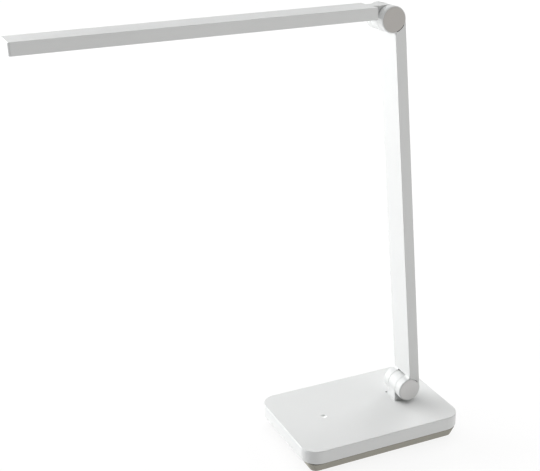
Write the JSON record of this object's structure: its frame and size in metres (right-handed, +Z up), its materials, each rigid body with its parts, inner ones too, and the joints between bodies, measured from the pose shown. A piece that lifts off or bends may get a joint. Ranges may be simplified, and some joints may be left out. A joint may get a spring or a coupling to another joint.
{
  "type": "folding desk lamp",
  "caption": "Folding desk lamp: weighted rounded base, slim arm and slim light bar of the same width, joined by two friction hinges with round side caps.",
  "frame": {"origin": "on the resting plane (underside of the anti-slip pad), under the middle of the base's plan", "axes": "+Z up; +X towards the hinge end of the base; -X is where the light bar reaches; -Y is the front, and both hinge axes run along Y"},
  "size_m": [0.4431, 0.13, 0.4752],
  "materials": {
    "white_shell": "satin",
    "white_cover": "satin",
    "tray_grey": "matte",
    "cap_grey": "satin",
    "pad_rubber": "matte",
    "ballast_steel": "matte",
    "plated_steel": "satin",
    "screw_steel": "satin",
    "pin_steel": "polished",
    "spring_steel": "satin",
    "washer_nylon": "satin",
    "board_green": "satin",
    "board_white": "satin",
    "component_black": "matte",
    "emitter_yellow": "gloss",
    "diffuser_opal": "satin",
    "indicator_clear": "gloss",
    "socket_shell": "satin",
    "spreader_aluminium": "satin",
    "lead_black": "satin"
  },
  "bodies": {
    "base": {"base_shell": "white_shell", "base_tray": "tray_grey", "antislip_pad": "pad_rubber", "ballast_plate": "ballast_steel", "ballast_screws": "screw_steel", "tray_screws": "screw_steel", "hinge_pedestal": "white_shell", "hinge_backing_plate": "plated_steel", "pedestal_screws": "screw_steel", "control_board": "board_green", "board_components": "component_black", "board_screws": "screw_steel", "touch_spring": "spring_steel", "indicator_lens": "indicator_clear", "power_socket": "socket_shell", "base_lead": "lead_black"},
    "arm": {"lower_hinge_pin": "pin_steel", "lower_friction_washers": "washer_nylon", "lower_spring_washers": "spring_steel", "lower_hinge_nut": "plated_steel", "lower_cap_front": "cap_grey", "lower_cap_rear": "cap_grey", "upper_hinge_pin": "pin_steel", "upper_friction_washers": "washer_nylon", "upper_spring_washers": "spring_steel", "upper_hinge_nut": "plated_steel", "upper_cap_front": "cap_grey", "upper_cap_rear": "cap_grey", "arm_channel": "white_shell", "arm_cover": "white_cover", "arm_lead": "lead_black"},
    "head": {"head_housing": "white_shell", "heat_spreader": "spreader_aluminium", "led_board": "board_white", "leds": "emitter_yellow", "diffuser": "diffuser_opal", "head_screws": "screw_steel", "head_lead": "lead_black"}
  },
  "joints": [
    {"name": "arm_fold", "type": "hinge", "parent": "base", "child": "arm", "pos_m": [0.0551, 0, 0.0445], "axis": [0, 1, 0], "range_deg": [-85.7, 49.3]},
    {"name": "head_fold", "type": "hinge", "parent": "arm", "child": "head", "pos_m": [0.02386, 0, 0.46193], "axis": [0, 1, 0], "range_deg": [-94.2, 85.7]}
  ]
}
